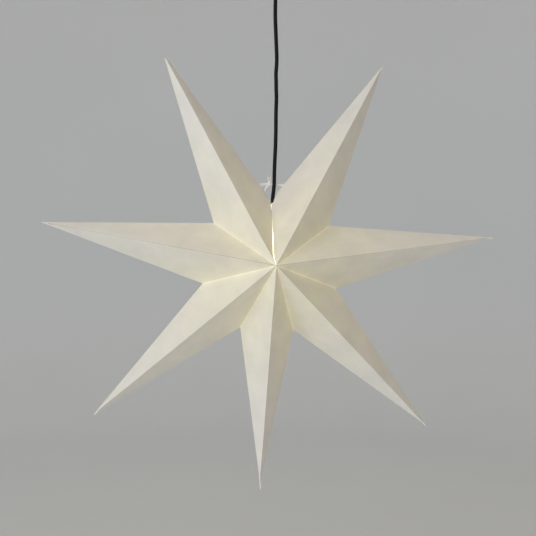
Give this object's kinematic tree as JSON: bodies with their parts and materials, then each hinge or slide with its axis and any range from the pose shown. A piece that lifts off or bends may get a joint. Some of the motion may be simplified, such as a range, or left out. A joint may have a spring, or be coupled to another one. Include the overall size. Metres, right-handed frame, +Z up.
{
  "type": "paper advent star",
  "caption": "Hollow folded paper star with pointed rays, hung on a black cord over its lampholder and bulb, with a ceiling cup and hanger strap.",
  "frame": {"origin": "on the ceiling, at the middle of the hanger strap's upper face", "axes": "+Z up along the cord, front of the star towards -Y, +X to the right seen from the front"},
  "size_m": [0.7121, 0.18, 0.8577],
  "materials": {
    "paper": "matte white paper, folded",
    "cotton": "twisted white cotton",
    "cord_sheath": "matte black sheath",
    "black_plastic": "satin moulded",
    "ivory_plastic": "satin moulded",
    "brass": "bright",
    "steel": "zinc plated",
    "core_sheath": "smooth insulation",
    "opal": "opal, satin"
  },
  "bodies": {
    "root": {"ray_upper_left": "paper", "ray_upper_right": "paper", "ray_right": "paper", "ray_lower_right": "paper", "ray_bottom": "paper", "ray_lower_left": "paper", "ray_left": "paper", "tie_string": "cotton", "lamp_cord": "cord_sheath", "cord_grip": "black_plastic", "holder_cap": "black_plastic", "grip_screw": "steel", "holder_sleeve": "black_plastic", "holder_insert": "ivory_plastic", "screw_shell": "brass", "centre_contact": "brass", "terminal_screws": "brass", "holder_cores": "core_sheath", "light_bulb": "opal", "ceiling_cup": "black_plastic", "cup_gland": "black_plastic", "gland_nut": "black_plastic", "hanger_strap": "steel", "side_screws": "steel", "terminal_block": "ivory_plastic", "block_screws": "brass", "cup_cores": "core_sheath"}
  },
  "joints": []
}
